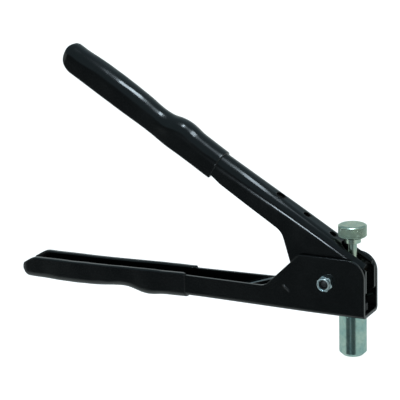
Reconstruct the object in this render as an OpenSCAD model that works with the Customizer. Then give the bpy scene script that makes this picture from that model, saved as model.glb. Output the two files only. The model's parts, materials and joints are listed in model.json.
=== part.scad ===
// Hand riveter: a two-handed setting tool. A channel frame carries a cylindrical nose.
// A nested channel lever turns on a cross bolt and lifts a puller that carries the thumb screw.
// Origin: centre of the nose's end face. +X points away from the handles, +Z up the nose.

/* [Frame] */
// Thickness of the sheet steel in both channels
sheet_t = 2.5; // [2:0.1:3]
// Outer width of the frame at its head
head_w = 25.6; // [24:0.1:27]
// Outer width of the frame at its handle
handle_w = 20.8; // [19:0.1:22]
// Front edge of the head, from the nose axis
head_front = 13.2; // [12:0.1:16]
// Height of the head's side walls above the nose's end
head_top = 70.8; // [68:0.1:74]
// Radius of the head walls' front corner
head_corner_r = 13; // [6:1:14]
// Back top corner of the head walls
head_back = -34.3; // [-38:0.1:-30]
// Height of the handle's upper edge where it meets the head
handle_top = 45.2; // [43:0.1:47]
// Distance from the nose axis back to the handle's end
handle_end = 254; // [240:1:270]
// Outer radius of the frame's folds
fold_r = 3.5; // [3:0.1:4]

/* [Lever] */
// Angle of the lever above the nose's end plane when it is open
lever_angle = 31.5; // [29:0.5:34]
// Outer width of the lever
lever_w = 18.8; // [18:0.1:19]
// Height of the lever's web above the pivot, square to the lever
lever_top = 26.8; // [26:0.1:28]
// Height of the lever walls' lower edge along the handle
lever_edge = 9.9; // [9:0.1:12]
// Distance from the pivot to the lever's end
lever_end = 244; // [230:1:260]
// Outer radius of the lever's folds
lever_fold_r = 5; // [3:0.5:6]
// Radius of the lever walls around the pivot
boss_r = 11.5; // [10.5:0.1:12]
// Distance from the pivot to the first of the web's holes
web_hole_start = 15.7; // [15:0.1:17]
// Distance between the web's holes
web_hole_pitch = 22.5; // [20:0.5:24]
// Diameter of the two web holes nearest the thumb screw
web_hole_d = 5.8; // [4:0.1:7]
// Diameter of the web hole nearest the grip
hang_hole_d = 7.2; // [5:0.1:9]
// Width of the slot that the thumb screw passes through
slot_w = 12.6; // [12:0.1:13]

/* [Pivot] */
// Pivot axis along X, from the nose axis
pivot_x = -14.3; // [-15:0.1:-14]
// Pivot axis above the nose's end
pivot_z = 53.1; // [52:0.1:54]
// Diameter of the pivot bolt
bolt_d = 6; // [6:0.5:6]
// Outer diameter of the sleeve that the lever turns on
sleeve_d = 9; // [8.5:0.1:9.2]
// Width of the pivot nut and bolt head across flats
hex_af = 10; // [10:0.5:11]

/* [Nose] */
// Diameter of the nose
nose_d = 19; // [18:0.1:19]
// Length of the nose below the frame
nose_len = 29.6; // [28:0.1:31]
// Chamfer at the nose's end
nose_chamfer = 2.5; // [1:0.1:3]
// Diameter of the nose's threaded spigot inside the frame
spigot_d = 15; // [14.5:0.1:16]
// Bore that guides the puller's stem
stem_bore_d = 11.1; // [11:0.1:11.5]

/* [Screw] */
// Diameter of the knurled knob
knob_d = 19.6; // [18:0.1:20]
// Height of the knob
knob_h = 8.6; // [8:0.1:9]
// Height of the knob's upper face above the nose's end
knob_top = 92.7; // [92:0.1:95]
// Diameter of the collar below the knob
collar_d = 11.5; // [10:0.1:11.8]
// Height of the collar
collar_h = 4; // [3:0.1:4]
// Diameter of the screw's shank
shank_d = 6; // [5.8:0.1:6.2]
// Travel of the lever from open to closed, in degrees
lever_travel = 30; // [20:1:30]

/* [Grips] */
// Thickness of the vinyl inside the channels and at their edges
vinyl_t = 1.2; // [1:0.1:1.5]
// Thickness of the vinyl on the channels' outer sides
vinyl_side = 1.2; // [1:0.1:2]
// Distance from the nose axis back to the lower grip's inner end
lower_grip_start = 123; // [120:1:126]
// Distance from the pivot to the upper grip's inner end
upper_grip_start = 109; // [106:1:112]

/* [Hidden] */
$fn = 64;

gap = 0.05;          // clearance of a running or seated fit, per side
cut = 60;            // length of a tool body that cuts right through
floor_z = nose_len + sheet_t;
inner_w = head_w - 2 * sheet_t;
lever_inner_w = lever_w - 2 * sheet_t;

// Both handles grow slimmer inside their grips.
taper_front = -120;
taper_back = -150;
handle_rise = 1.8;
lever_taper_front = -110;
lever_taper_back = -150;
lever_drop = 2.5;
handle_low = nose_len + handle_rise;
under = 1;           // how far a cutting shape runs past the face that it leaves
flare_front = -64;
flare_back = -121;

// Trunnions sit on the nose axis; half the lever's travel lies below the pivot's height.
arm = -pivot_x;
trunnion_d = 5;
trunnion_z = pivot_z - arm * tan(lever_travel / 2);
trunnion_reach = arm / cos(lever_travel / 2);
trunnion_gap = 0.12;

puller_w = lever_inner_w - 0.8;
puller_front = 6.5;
puller_back = -5;
puller_low = trunnion_z - 4.3;
puller_high = trunnion_z + 8;
stem_d = stem_bore_d - 2 * gap;
stem_low = 20;
bush_d = 8;
washer_t = 1;
thrust_low = puller_high + washer_t + gap;
thrust_h = 5;
holder_d = stem_bore_d - 0.7;
holder_low = 5;
holder_thread_r = 2.5;
nosepiece_h = 4;
nosepiece_bore_d = 7;

spring_wire = 2;
spring_r = 7.6;
spring_pitch = 2.15;
spring_turns = 2;
spring_side = 5.2;
spring_foot = [-97, floor_z + spring_wire / 2 + gap];
spring_tip = 40;     // where the spring's upper leg meets the lever, from the pivot

function arc(cx, cy, r, from, to, steps = 12) =
    [for (i = [0 : steps]) let (a = from + (to - from) * i / steps) [cx + r * cos(a), cy + r * sin(a)]];

// A side view drawn in X and Z, made into a plate across Y.
module plate(width, shift = 0) {
    translate([0, shift, 0]) rotate([90, 0, 0]) linear_extrude(height = width, center = true) children();
}

// A cylinder along Y, centred at x and z.
module cross_cylinder(x, z, d, length, shift = 0) {
    translate([x, shift, z]) rotate([90, 0, 0]) cylinder(d = d, h = length, center = true);
}

// A cylinder along Z from low to high.
module post(d, low, high, sides = $fn) {
    translate([0, 0, low]) cylinder(d = d, h = high - low, $fn = sides);
}

module tube(outer, inner, low, high) {
    difference() {
        post(outer, low, high);
        post(inner, low - 1, high + 1);
    }
}

// The lever's own frame: x along its web towards the front, z square to the web, origin at the pivot.
module on_lever() {
    translate([pivot_x, 0, pivot_z]) rotate([0, lever_angle, 0]) children();
}

// ---------- frame channel ----------

handle_tip_r = 8;
diagonal_end = head_back - (head_top - handle_top) / tan(44);
module frame_side() {
    run_out = under * (taper_front - taper_back) / handle_rise;
    polygon(concat(
        [[head_front, nose_len - under]],
        arc(head_front - head_corner_r, head_top - head_corner_r, head_corner_r, 0, 90),
        arc(head_back + 1.5, head_top - 5.2, 4, 90, 134, 4),
        arc(diagonal_end - 4, handle_top + 10, 10, -46, -90, 6),
        [[-lower_grip_start, handle_top - 0.3]],
        arc(handle_tip_r - handle_end, handle_top - 2 - handle_tip_r, handle_tip_r, 90, 180),
        arc(3 - handle_end, handle_low + 3, 3, 180, 270, 4),
        [[taper_back, handle_low], [taper_front + run_out, nose_len - under]]));
}

// The channel's plan between head and handle, where it narrows.
module flare(side) {
    head = head_w / 2 - side;
    handle = handle_w / 2 - side;
    translate([0, 0, nose_len]) linear_extrude(height = cut)
        polygon([[flare_front, -head], [flare_front, head], [flare_back, handle], [flare_back, -handle]]);
}

// A block along X whose two lower edges are rounded.
module folded_block(from, to, width, low, r) {
    translate([from, 0, low]) rotate([90, 0, 90]) linear_extrude(height = to - from)
        polygon(concat([[width / 2, cut], [-width / 2, cut]],
                       arc(r - width / 2, r, r, 180, 270, 8),
                       arc(width / 2 - r, r, r, 270, 360, 8)));
}

module frame_solid() {
    intersection() {
        plate(cut) frame_side();
        union() {
            folded_block(flare_front, cut, head_w, nose_len, fold_r);
            flare(0);
            translate([-handle_end - cut, -handle_w / 2, nose_len])
                cube([handle_end + cut + flare_back, handle_w, cut]);
        }
    }
}

// The hollow between the channel's walls.
module frame_hollow() {
    intersection() {
        above_floor(sheet_t);
        union() {
            translate([flare_front, -inner_w / 2, nose_len]) cube([cut - flare_front, inner_w, cut]);
            flare(sheet_t);
            translate([-handle_end - cut, sheet_t - handle_w / 2, nose_len])
                cube([handle_end + cut + flare_back, handle_w - 2 * sheet_t, cut]);
        }
    }
}

// Everything above the channel's floor.
module above_floor(rise) {
    plate(cut) polygon([[cut, nose_len + rise], [cut, 2 * cut], [-handle_end - cut, 2 * cut],
                        [-handle_end - cut, handle_low + rise], [taper_back, handle_low + rise],
                        [taper_front, nose_len + rise]]);
}

module frame_channel() {
    color([0.07, 0.075, 0.08]) difference() {
        frame_solid();
        frame_hollow();
        post(spigot_d + 2 * gap, nose_len - 1, floor_z + 1);
        cross_cylinder(pivot_x, pivot_z, bolt_d + 2 * gap, cut);
    }
}

// ---------- lower grip ----------

module lower_grip_side() {
    bottom = nose_len;
    tip = -handle_end - 3.5;
    polygon(concat(
        [[-lower_grip_start, bottom - 1.6], [-lower_grip_start, handle_top + 1.1], [-160, handle_top + 0.3],
         [-205, handle_top - 0.8], [-228, handle_top - 1]],
        arc(10.4 + tip, handle_top - 11.1, 10.4, 90, 180),
        arc(5.2 + tip, bottom + 3.6, 5.2, 180, 260, 5),
        [[-239, bottom - 1.6], [-225, bottom - 2], [-208, bottom - 2], [-190, bottom - 1.1],
         [-181, bottom - 0.2], [-174, bottom + 0.2], [-169, bottom - 0.3], [-164, bottom - 1.5],
         [-159, bottom - 2.8], [-154, bottom - 3.4], [-149, bottom - 3], [-142, bottom - 2.2],
         [-135, bottom - 1.9]]));
}

module lower_grip() {
    width = handle_w + 2 * vinyl_side;
    color([0.03, 0.03, 0.035]) difference() {
        intersection() {
            plate(cut) lower_grip_side();
            folded_block(-handle_end - cut, -lower_grip_start, width, nose_len - 4, 6);
        }
        // the hollow between the legs
        intersection() {
            above_floor(sheet_t + vinyl_t);
            translate([-handle_end - cut, -handle_w / 2 + sheet_t + vinyl_t, 0])
                cube([handle_end + 2 * cut, handle_w - 2 * (sheet_t + vinyl_t), 2 * cut]);
        }
        // the channel's own walls and web, with a little room
        difference() {
            intersection() {
                translate([-handle_end - gap, -handle_w / 2 - gap, 0])
                    cube([handle_end, handle_w + 2 * gap, 2 * cut]);
                above_floor(-gap);
                plate(cut) frame_side_grown();
            }
            intersection() {
                above_floor(sheet_t + gap);
                translate([-handle_end - cut, -handle_w / 2 + sheet_t + gap, 0])
                    cube([handle_end + 2 * cut, handle_w - 2 * (sheet_t + gap), 2 * cut]);
            }
        }
    }
}

// The handle's side view with the same small room all round.
module frame_side_grown() {
    r = handle_tip_r + gap;
    polygon(concat(
        [[0, nose_len - under], [0, handle_top + gap], [-lower_grip_start, handle_top - 0.3 + gap]],
        arc(handle_tip_r - handle_end, handle_top - 2 - handle_tip_r, r, 90, 180),
        [[-handle_end - gap, nose_len - under]]));
}

// ---------- lever channel ----------

// Front edge of the lever, upright when the lever is open.
lever_front = head_front - 0.1 - pivot_x;
function front_x(z) = (lever_front - z * sin(lever_angle)) / cos(lever_angle);
lever_nose_z = 8.1;

module lever_side() {
    polygon(concat(
        [[front_x(lever_top), lever_top]],
        [[front_x(lever_nose_z + 3), lever_nose_z + 3], [front_x(lever_nose_z) - 1.5, lever_nose_z - 0.4]],
        arc(0, 0, boss_r, -50, -103, 8),
        [[-29.5, -5.6]],
        arc(-50.5, lever_edge - 13.3, 12.5, 46, 90, 8),
        [[-100, lever_edge]],
        lever_handle_end(0),
        [[lever_taper_back, lever_top - lever_drop], [lever_taper_front, lever_top]]));
}

// The handle's lower edge and end, with some room outside it.
function lever_handle_end(room) = concat(
    [[-upper_grip_start, lever_edge + 1.3 - room]],
    arc(11 - lever_end, lever_edge + 12.3, 11 + room, 270, 180, 10),
    [[-lever_end - room, lever_top - lever_drop + room]]);

// Everything below the lever's web, lowered by some room.
module below_web(room) {
    high = lever_top - sheet_t - room;
    run_out = under * (lever_taper_front - lever_taper_back) / lever_drop;
    plate(cut) polygon([[cut, -cut], [cut, high + under], [lever_taper_front + run_out, high + under],
                        [lever_taper_back, high - lever_drop], [-lever_end - cut, high - lever_drop],
                        [-lever_end - cut, -cut]]);
}

// A block along the lever whose two upper edges are rounded.
module crowned_block(from, to, width, high, r) {
    translate([from, 0, high]) rotate([90, 0, 90]) linear_extrude(height = to - from)
        polygon(concat([[-width / 2, -cut], [width / 2, -cut]],
                       arc(width / 2 - r, -r, r, 0, 90, 10),
                       arc(r - width / 2, -r, r, 90, 180, 10)));
}

module lever_hollow(room) {
    intersection() {
        crowned_block(-lever_end - cut, cut, lever_inner_w - 2 * room, lever_top - sheet_t - room,
                      lever_fold_r - sheet_t);
        below_web(room);
    }
}

module trunnion_slot(width, length) {
    // along the line from the pivot to the trunnion
    rotate([0, lever_travel / 2 - lever_angle, 0]) {
        cross_cylinder(trunnion_reach + length, 0, width, cut);
        cross_cylinder(arm - length, 0, width, cut);
        translate([(arm + trunnion_reach) / 2, 0, 0])
            cube([trunnion_reach - arm + 2 * length, cut, width], center = true);
    }
}

module lever_channel() {
    color([0.07, 0.075, 0.08]) on_lever() difference() {
        intersection() {
            plate(cut) lever_side();
            crowned_block(-lever_end - 1, cut, lever_w, lever_top, lever_fold_r);
        }
        lever_hollow(0);
        cross_cylinder(0, 0, sleeve_d + 2, cut);
        trunnion_slot(trunnion_d + 2 * trunnion_gap, 0.2);
        for (i = [0 : 2]) {
            translate([-web_hole_start - i * web_hole_pitch, 0, lever_top - sheet_t - 1])
                cylinder(d = i == 2 ? hang_hole_d : web_hole_d, h = sheet_t + 2);
        }
        // the slot that the thumb screw stands in runs out of the web's front edge
        translate([-2, 0, lever_top - sheet_t - 4]) cylinder(d = slot_w, h = sheet_t + 5);
        translate([-2, -slot_w / 2, lever_top - sheet_t - 4]) cube([cut, slot_w, sheet_t + 5]);
    }
}

// ---------- upper grip ----------

module upper_grip_side() {
    top = lever_top;
    tip = -lever_end - 3.3;
    polygon(concat(
        [[-upper_grip_start, lever_edge - 1.2], [-upper_grip_start, top + 0.8], [-120, top + 1],
         [-131, top + 1.3], [-138, top + 2.1], [-144, top + 2.3], [-149, top + 1.5],
         [-155, top], [-160, top - 0.8], [-167, top - 1], [-175, top - 0.2], [-187, top + 0.6],
         [-205, top + 0.9], [-222, top + 0.8], [-234, top + 0.4]],
        arc(4.5 + tip, top - 4.4, 4.5, 90, 160, 6),
        arc(14.5 + tip, lever_edge + 13.3, 14.5, 180, 270, 12)));
}

module upper_grip() {
    width = lever_w + 2 * vinyl_side - 0.4;
    color([0.03, 0.03, 0.035]) on_lever() difference() {
        intersection() {
            plate(cut) upper_grip_side();
            crowned_block(-lever_end - 10, -upper_grip_start, width, lever_top + 2.4, 9);
        }
        // the hollow between the legs
        lever_hollow(vinyl_t);
        // the channel's own walls and web, with a little room
        difference() {
            intersection() {
                plate(cut) lever_side_grown();
                crowned_block(-lever_end - gap, 0, lever_w + 2 * gap, lever_top + 2 * gap, lever_fold_r);
            }
            lever_hollow(gap);
        }
    }
}

module lever_side_grown() {
    polygon(concat(
        [[0, lever_edge + 1.3 - gap]],
        lever_handle_end(gap),
        [[lever_taper_back, lever_top - lever_drop + gap], [lever_taper_front, lever_top + gap],
         [0, lever_top + gap]]));
}

// ---------- nose ----------

module nose_housing() {
    color([0.72, 0.74, 0.73]) difference() {
        union() {
            post(nose_d, nose_chamfer, nose_len);
            cylinder(d1 = nose_d - 2 * nose_chamfer, d2 = nose_d, h = nose_chamfer);
            post(spigot_d, nose_len - 1, floor_z + 7);
        }
        post(stem_bore_d, nosepiece_h, floor_z + 8);
        post(10, -1, nosepiece_h + 1);
    }
}

module nosepiece() {
    color([0.45, 0.46, 0.46]) tube(10 - 2 * gap, nosepiece_bore_d, 0, nosepiece_h);
}

module nose_lock_washer() {
    color([0.6, 0.61, 0.6]) tube(19, spigot_d + 2 * gap, floor_z, floor_z + 1);
}

module nose_lock_nut() {
    color([0.7, 0.72, 0.71]) difference() {
        post(19 / cos(30), floor_z + 1, floor_z + 6, 6);
        post(spigot_d + 2 * gap, floor_z, floor_z + 8);
    }
}

// ---------- pivot ----------

module hex_across(d, from, to) {
    translate([pivot_x, from, pivot_z]) rotate([-90, 0, 0]) rotate([0, 0, 15])
        cylinder(d = d / cos(30), h = to - from, $fn = 6);
}

nut_face = -head_w / 2 - 3.4;
nut_end = -head_w / 2 - 5.4;
module pivot_bolt() {
    color([0.72, 0.74, 0.73]) {
        hex_across(hex_af, head_w / 2 + 1, head_w / 2 + 5);
        cross_cylinder(pivot_x, pivot_z, bolt_d, head_w / 2 + 1.5 - nut_face, (head_w / 2 + 1.5 + nut_face) / 2);
    }
}

module pivot_bolt_washer() {
    color([0.66, 0.68, 0.67]) difference() {
        cross_cylinder(pivot_x, pivot_z, 12, 1, head_w / 2 + 0.5);
        cross_cylinder(pivot_x, pivot_z, bolt_d + 2 * gap, cut);
    }
}

module pivot_nut() {
    color([0.75, 0.77, 0.76]) difference() {
        union() {
            hex_across(hex_af, nut_face, -head_w / 2);
            cross_cylinder(pivot_x, pivot_z, 9.5, nut_face - nut_end + 1, (nut_face + nut_end + 1) / 2);
        }
        cross_cylinder(pivot_x, pivot_z, bolt_d + 2 * gap, cut);
        cross_cylinder(pivot_x, pivot_z, 8, 2, nut_end + 0.7);
    }
}

module pivot_nut_insert() {
    color([0.08, 0.08, 0.09]) difference() {
        cross_cylinder(pivot_x, pivot_z, 8 - 2 * gap, 1.3, nut_end + 1);
        cross_cylinder(pivot_x, pivot_z, 5.4, cut);
    }
}

module pivot_sleeve() {
    color([0.62, 0.63, 0.62]) difference() {
        cross_cylinder(pivot_x, pivot_z, sleeve_d, inner_w);
        cross_cylinder(pivot_x, pivot_z, bolt_d + 2 * gap, cut);
    }
}

bush_in = lever_w / 2 - sheet_t;
bush_out = inner_w / 2 - 0.1;
module lever_bushes() {
    color([0.62, 0.45, 0.2]) for (side = [-1, 1]) difference() {
        cross_cylinder(pivot_x, pivot_z, sleeve_d + 2, bush_out - bush_in, side * (bush_out + bush_in) / 2);
        cross_cylinder(pivot_x, pivot_z, sleeve_d + 2 * gap, cut);
    }
}

// ---------- return spring ----------

function unit(v) = v / norm(v);

// A round wire swept along points, with rings square to the path. Side is a direction never along it.
module wire(path, d, side, sides = 8) {
    last = len(path) - 1;
    rings = [for (i = [0 : last])
        let (t = unit(path[min(i + 1, last)] - path[max(i - 1, 0)]),
             u = unit(cross(side, t)),
             v = cross(t, u))
        for (k = [0 : sides - 1])
            path[i] + d / 2 * (cos(360 * k / sides) * u + sin(360 * k / sides) * v)];
    faces = concat(
        [[for (k = [0 : sides - 1]) k]],
        [[for (k = [sides - 1 : -1 : 0]) last * sides + k]],
        [for (i = [0 : last - 1]) for (k = [0 : sides - 1])
            [i * sides + k, (i + 1) * sides + k, (i + 1) * sides + (k + 1) % sides, i * sides + (k + 1) % sides]]);
    polyhedron(points = rings, faces = faces, convexity = 8);
}

// Points of a coil about the pivot, from one angle to another, while y runs between two values.
function coil(from, to, y_from, y_to, steps) =
    [for (i = [0 : steps]) let (a = from + (to - from) * i / steps)
        [pivot_x + spring_r * cos(a), y_from + (y_to - y_from) * i / steps, pivot_z + spring_r * sin(a)]];

foot_gap = [spring_foot[0] - pivot_x, spring_foot[1] - pivot_z];
foot_angle = atan2(foot_gap[1], foot_gap[0]) + 360 - acos(spring_r / norm(foot_gap));
module return_spring() {
    path = concat([[spring_foot[0], spring_side, spring_foot[1]]],
                  coil(foot_angle, foot_angle - 360 * spring_turns, spring_side,
                       spring_side - spring_pitch * spring_turns, 24 * spring_turns));
    color([0.75, 0.76, 0.76]) wire(path, spring_wire, [0, 1, 0]);
}

// The other half of the spring turns with the lever; its leg bears on the lever's web.
tip_height = lever_top - sheet_t - spring_wire / 2 - gap;
tip_angle = 180 - atan2(tip_height, spring_tip) - lever_angle;
tip_reach = norm([tip_height, spring_tip]);
tip_point = [pivot_x + tip_reach * cos(tip_angle), pivot_z + tip_reach * sin(tip_angle)];
leg_angle = tip_angle + acos(spring_r / tip_reach);
module return_spring_leg() {
    path = concat([[tip_point[0], -spring_side, tip_point[1]]],
                  coil(leg_angle, leg_angle + 360 * spring_turns, -spring_side,
                       -spring_side + spring_pitch * spring_turns, 24 * spring_turns));
    color([0.75, 0.76, 0.76]) wire(path, spring_wire, [0, 1, 0]);
}

// ---------- puller ----------

module puller() {
    color([0.5, 0.51, 0.51]) difference() {
        union() {
            translate([puller_back, -puller_w / 2, puller_low])
                cube([puller_front - puller_back, puller_w, puller_high - puller_low]);
            intersection() {
                post(stem_d, stem_low, puller_low + 1);
                translate([-cut / 2, -cut / 2, 0]) cube([cut, cut, cut]);
            }
        }
        post(shank_d + 0.6, 0, cut);
        post(bush_d, puller_low + 2, cut + 20);
        for (side = [-1, 1]) cross_cylinder(0, trunnion_z, trunnion_d, 2, side * (puller_w / 2));
    }
}

module puller_bush() {
    color([0.62, 0.45, 0.2]) tube(bush_d, shank_d + 2 * gap, puller_low + 2, puller_high);
}

module trunnion_pins() {
    length = lever_w / 2 - puller_w / 2 + 0.8;
    color([0.66, 0.68, 0.67]) for (side = [-1, 1])
        cross_cylinder(0, trunnion_z, trunnion_d, length, side * (puller_w / 2 - 1 + length / 2));
}

module thrust_washer() {
    color([0.62, 0.45, 0.2]) tube(11, shank_d + 2 * gap, puller_high, puller_high + washer_t);
}

// ---------- thumb screw and what is fixed to it ----------

knob_low = knob_top - knob_h;
knob_chamfer = 0.9;
pin_d = 2.5;
module thumb_screw() {
    color([0.75, 0.77, 0.76]) difference() {
        union() {
            post(knob_d, knob_low + knob_chamfer, knob_top - knob_chamfer);
            translate([0, 0, knob_top - knob_chamfer])
                cylinder(d1 = knob_d, d2 = knob_d - 2 * knob_chamfer, h = knob_chamfer);
            translate([0, 0, knob_low])
                cylinder(d1 = knob_d - 2 * knob_chamfer, d2 = knob_d, h = knob_chamfer);
            post(collar_d, knob_low - collar_h, knob_low + 1);
            post(shank_d, holder_low + 6, knob_low + 1);
        }
        cross_cylinder(0, thrust_low + thrust_h / 2, pin_d, cut);
        cross_cylinder(0, stem_low - 3, 2, cut);
    }
}

module thrust_collar() {
    color([0.6, 0.61, 0.6]) difference() {
        tube(11, shank_d, thrust_low, thrust_low + thrust_h);
        cross_cylinder(0, thrust_low + thrust_h / 2, pin_d, cut);
    }
}

module thrust_collar_pin() {
    color([0.35, 0.35, 0.36]) difference() {
        cross_cylinder(0, thrust_low + thrust_h / 2, pin_d, 10.6);
        cross_cylinder(0, thrust_low + thrust_h / 2, 1.2, cut);
    }
}

module mandrel_holder() {
    color([0.6, 0.61, 0.6]) difference() {
        post(holder_d, holder_low, stem_low - 0.1);
        post(shank_d, holder_low + 6, cut);
        post(2 * holder_thread_r, 0, holder_low + 7);
        cross_cylinder(0, stem_low - 3, 2, cut);
    }
}

module holder_pin() {
    color([0.35, 0.35, 0.36]) cross_cylinder(0, stem_low - 3, 2, 9.4);
}

frame_channel();
lower_grip();
nose_housing();
nose_lock_nut();
nose_lock_washer();
nosepiece();
pivot_bolt();
pivot_bolt_washer();
pivot_nut();
pivot_nut_insert();
pivot_sleeve();
return_spring();
return_spring_leg();
lever_channel();
upper_grip();
lever_bushes();
puller();
puller_bush();
trunnion_pins();
thrust_washer();
thumb_screw();
thrust_collar();
thrust_collar_pin();
mandrel_holder();
holder_pin();
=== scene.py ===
"""Looks of the hand riveter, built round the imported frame.

The builders below work in millimetres; Blender's objects are in metres.
"""

import json
import math

import bmesh
import bpy
import numpy as np
from mathutils import Matrix, Vector, noise
from mathutils.geometry import delaunay_2d_cdt


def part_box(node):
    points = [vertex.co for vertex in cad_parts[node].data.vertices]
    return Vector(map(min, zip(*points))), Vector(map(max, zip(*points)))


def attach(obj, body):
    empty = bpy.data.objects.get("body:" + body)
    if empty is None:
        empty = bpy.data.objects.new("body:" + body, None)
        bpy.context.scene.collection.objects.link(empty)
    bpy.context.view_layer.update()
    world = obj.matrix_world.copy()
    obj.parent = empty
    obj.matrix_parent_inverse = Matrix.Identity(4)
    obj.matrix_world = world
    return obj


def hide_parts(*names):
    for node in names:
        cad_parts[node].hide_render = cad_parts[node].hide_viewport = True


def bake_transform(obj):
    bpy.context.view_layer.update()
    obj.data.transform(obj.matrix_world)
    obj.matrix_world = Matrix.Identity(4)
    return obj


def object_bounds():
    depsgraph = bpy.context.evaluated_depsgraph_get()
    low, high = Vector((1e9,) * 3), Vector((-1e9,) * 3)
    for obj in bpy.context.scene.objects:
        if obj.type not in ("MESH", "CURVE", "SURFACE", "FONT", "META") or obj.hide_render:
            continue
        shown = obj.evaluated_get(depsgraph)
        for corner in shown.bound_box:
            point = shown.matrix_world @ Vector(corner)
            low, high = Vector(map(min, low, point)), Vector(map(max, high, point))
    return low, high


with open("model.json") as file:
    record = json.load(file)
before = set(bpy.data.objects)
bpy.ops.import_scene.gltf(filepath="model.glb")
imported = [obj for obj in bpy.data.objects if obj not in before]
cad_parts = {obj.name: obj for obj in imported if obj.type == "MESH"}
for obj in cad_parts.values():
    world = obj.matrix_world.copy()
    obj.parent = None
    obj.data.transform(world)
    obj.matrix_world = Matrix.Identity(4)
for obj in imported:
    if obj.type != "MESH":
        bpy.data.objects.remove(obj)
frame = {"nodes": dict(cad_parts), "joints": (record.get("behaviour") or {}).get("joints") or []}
cad_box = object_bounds()

MM = 0.001
JOINTS = {j["name"]: j for j in frame["joints"]}


def node_box(node):
    """Lowest and highest corner of a CAD node, in millimetres."""
    low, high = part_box(node)
    return low / MM, high / MM


# ---------- driving values, in millimetres and degrees ----------

CHANNEL_LOW, CHANNEL_HIGH = node_box("frame_channel")
PIVOT = Vector(JOINTS["lever_pivot"]["pos_m"]) / MM
SHEET = 2.5
RIM = 0.4  # rounding of the sheet's cut edges

HEAD_HALF = CHANNEL_HIGH.y
HEAD_BACK = -34.3
HEAD_CORNER_R = 13
HEAD_SLANT = 44  # of the edge from the head down to the handle
HANDLE_HALF = 10.4
HANDLE_TOP = 45.2
HANDLE_END = CHANNEL_LOW.x
HANDLE_RISE = 1.8  # of the handle's bottom, inside the grip
FRAME_BOTTOM = CHANNEL_LOW.z
FRAME_FOLD = 3.5
NOSE_HOLE_R = 7.6
BOLT_HOLE_R = 3.1

# x and z on the lever are measured from the pivot, along and square to its web
LEVER_ANGLE = 31.5
LEVER_HALF = node_box("lever_channel")[1].y
LEVER_TOP = 26.8
LEVER_DROP = 2.5  # of the web, inside the grip
LEVER_EDGE = 9.9
LEVER_END = -244.0
LEVER_INSET = 0.25  # of its front behind the head's
BOSS = 11.5
BUSH_HOLE_R = 5.5
TRUNNION_REACH, TRUNNION_TURN, TRUNNION_HOLE_R = 14.55, 16.5, 2.9
SLOT_BACK, SLOT_HALF = -2, 6.3
WEB_HOLE_X, WEB_HOLE_STEP = -15.7, -22.5
WEB_HOLE_RADII = (2.9, 2.9, 3.6)

LOWER_GRIP_LOW, LOWER_GRIP_HIGH = node_box("lower_grip")
LOWER_GRIP_START = LOWER_GRIP_HIGH.x
UPPER_GRIP_START = -109.0
UPPER_GRIP_TIP = LEVER_END - 3.2
UPPER_GRIP_HALF = node_box("upper_grip")[1].y


# ---------- small geometry helpers ----------


def arc(x, y, r, start, end, steps):
    """Points of a circular arc, from one angle to another."""
    angles = [math.radians(start + (end - start) * i / steps) for i in range(steps + 1)]
    return [(x + r * math.cos(a), y + r * math.sin(a)) for a in angles]


def smooth_step(x, start, end):
    """0 before the start and 1 after the end, smooth between."""
    t = min(max((x - start) / (end - start), 0.0), 1.0)
    return t * t * (3 - 2 * t)


def curve_through(keys, base=0.0):
    """A smooth function of x through (x, height above the base) points, flat beyond both ends."""
    keys = sorted(keys)
    xs, ys = [k[0] for k in keys], [base + k[1] for k in keys]
    slopes = np.gradient(ys, xs)

    def value(x):
        if x <= xs[0]:
            return ys[0]
        if x >= xs[-1]:
            return ys[-1]
        i = max(j for j in range(len(xs) - 1) if xs[j] <= x)
        span = xs[i + 1] - xs[i]
        t = (x - xs[i]) / span
        return (
            ys[i] * (1 + 2 * t) * (1 - t) ** 2
            + ys[i + 1] * t * t * (3 - 2 * t)
            + slopes[i] * span * t * (1 - t) ** 2
            + slopes[i + 1] * span * t * t * (t - 1)
        )

    return value


def refine(outline, longest):
    """The closed outline with every stretch cut shorter than longest(point)."""
    points = []
    for i, a in enumerate(outline):
        b = outline[(i + 1) % len(outline)]
        a, b = Vector(a), Vector(b)
        position = 0.0
        length = (b - a).length
        if length < 1e-6:
            continue
        while position < length - 1e-6:
            p = a.lerp(b, position / length)
            points.append(p)
            step = longest(p)
            left = length - position
            position = length if left < 1.5 * step else position + step
    return points


def inset(outline, distance):
    """The closed outline moved to its left by a distance."""
    moved = []
    for i, p in enumerate(outline):
        before = (p - outline[i - 1]).normalized()
        after = (outline[(i + 1) % len(outline)] - p).normalized()
        n = Vector((-before.y - after.y, before.x + after.x))
        n.normalize()
        square = max(n.dot(Vector((-before.y, before.x))), 0.6)
        moved.append(p + n * (distance / square))
    return moved


def inside(points, loops):
    """Which points lie inside the loops by the even-odd rule, and how far each is from the nearest edge."""
    p = np.array(points)[:, None, :]
    a = np.concatenate([np.array(loop) for loop in loops])[None]
    b = np.concatenate([np.roll(np.array(loop), -1, axis=0) for loop in loops])[None]
    spans = (a[..., 1] > p[..., 1]) != (b[..., 1] > p[..., 1])
    rise = np.where(np.abs(b[..., 1] - a[..., 1]) < 1e-12, 1e-12, b[..., 1] - a[..., 1])
    crossing = a[..., 0] + (p[..., 1] - a[..., 1]) * (b[..., 0] - a[..., 0]) / rise
    odd = (spans & (p[..., 0] < crossing)).sum(axis=1) % 2 == 1
    along = b - a
    t = ((p - a) * along).sum(-1) / np.maximum((along**2).sum(-1), 1e-12)
    nearest = a + np.clip(t, 0, 1)[..., None] * along
    return odd, np.sqrt(((p - nearest) ** 2).sum(-1)).min(axis=1)


def signed_area(loop):
    return sum(a.x * b.y - b.x * a.y for a, b in zip(loop, loop[1:] + loop[:1])) / 2


def circle(x, y, r, count=28):
    angles = [2 * math.pi * i / count for i in range(count)]
    return [(x + r * math.cos(a), y + r * math.sin(a)) for a in angles]


def mirrored(points):
    """Pattern points on the channel's other wall."""
    return [(u, -q) for u, q in points]


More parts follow.
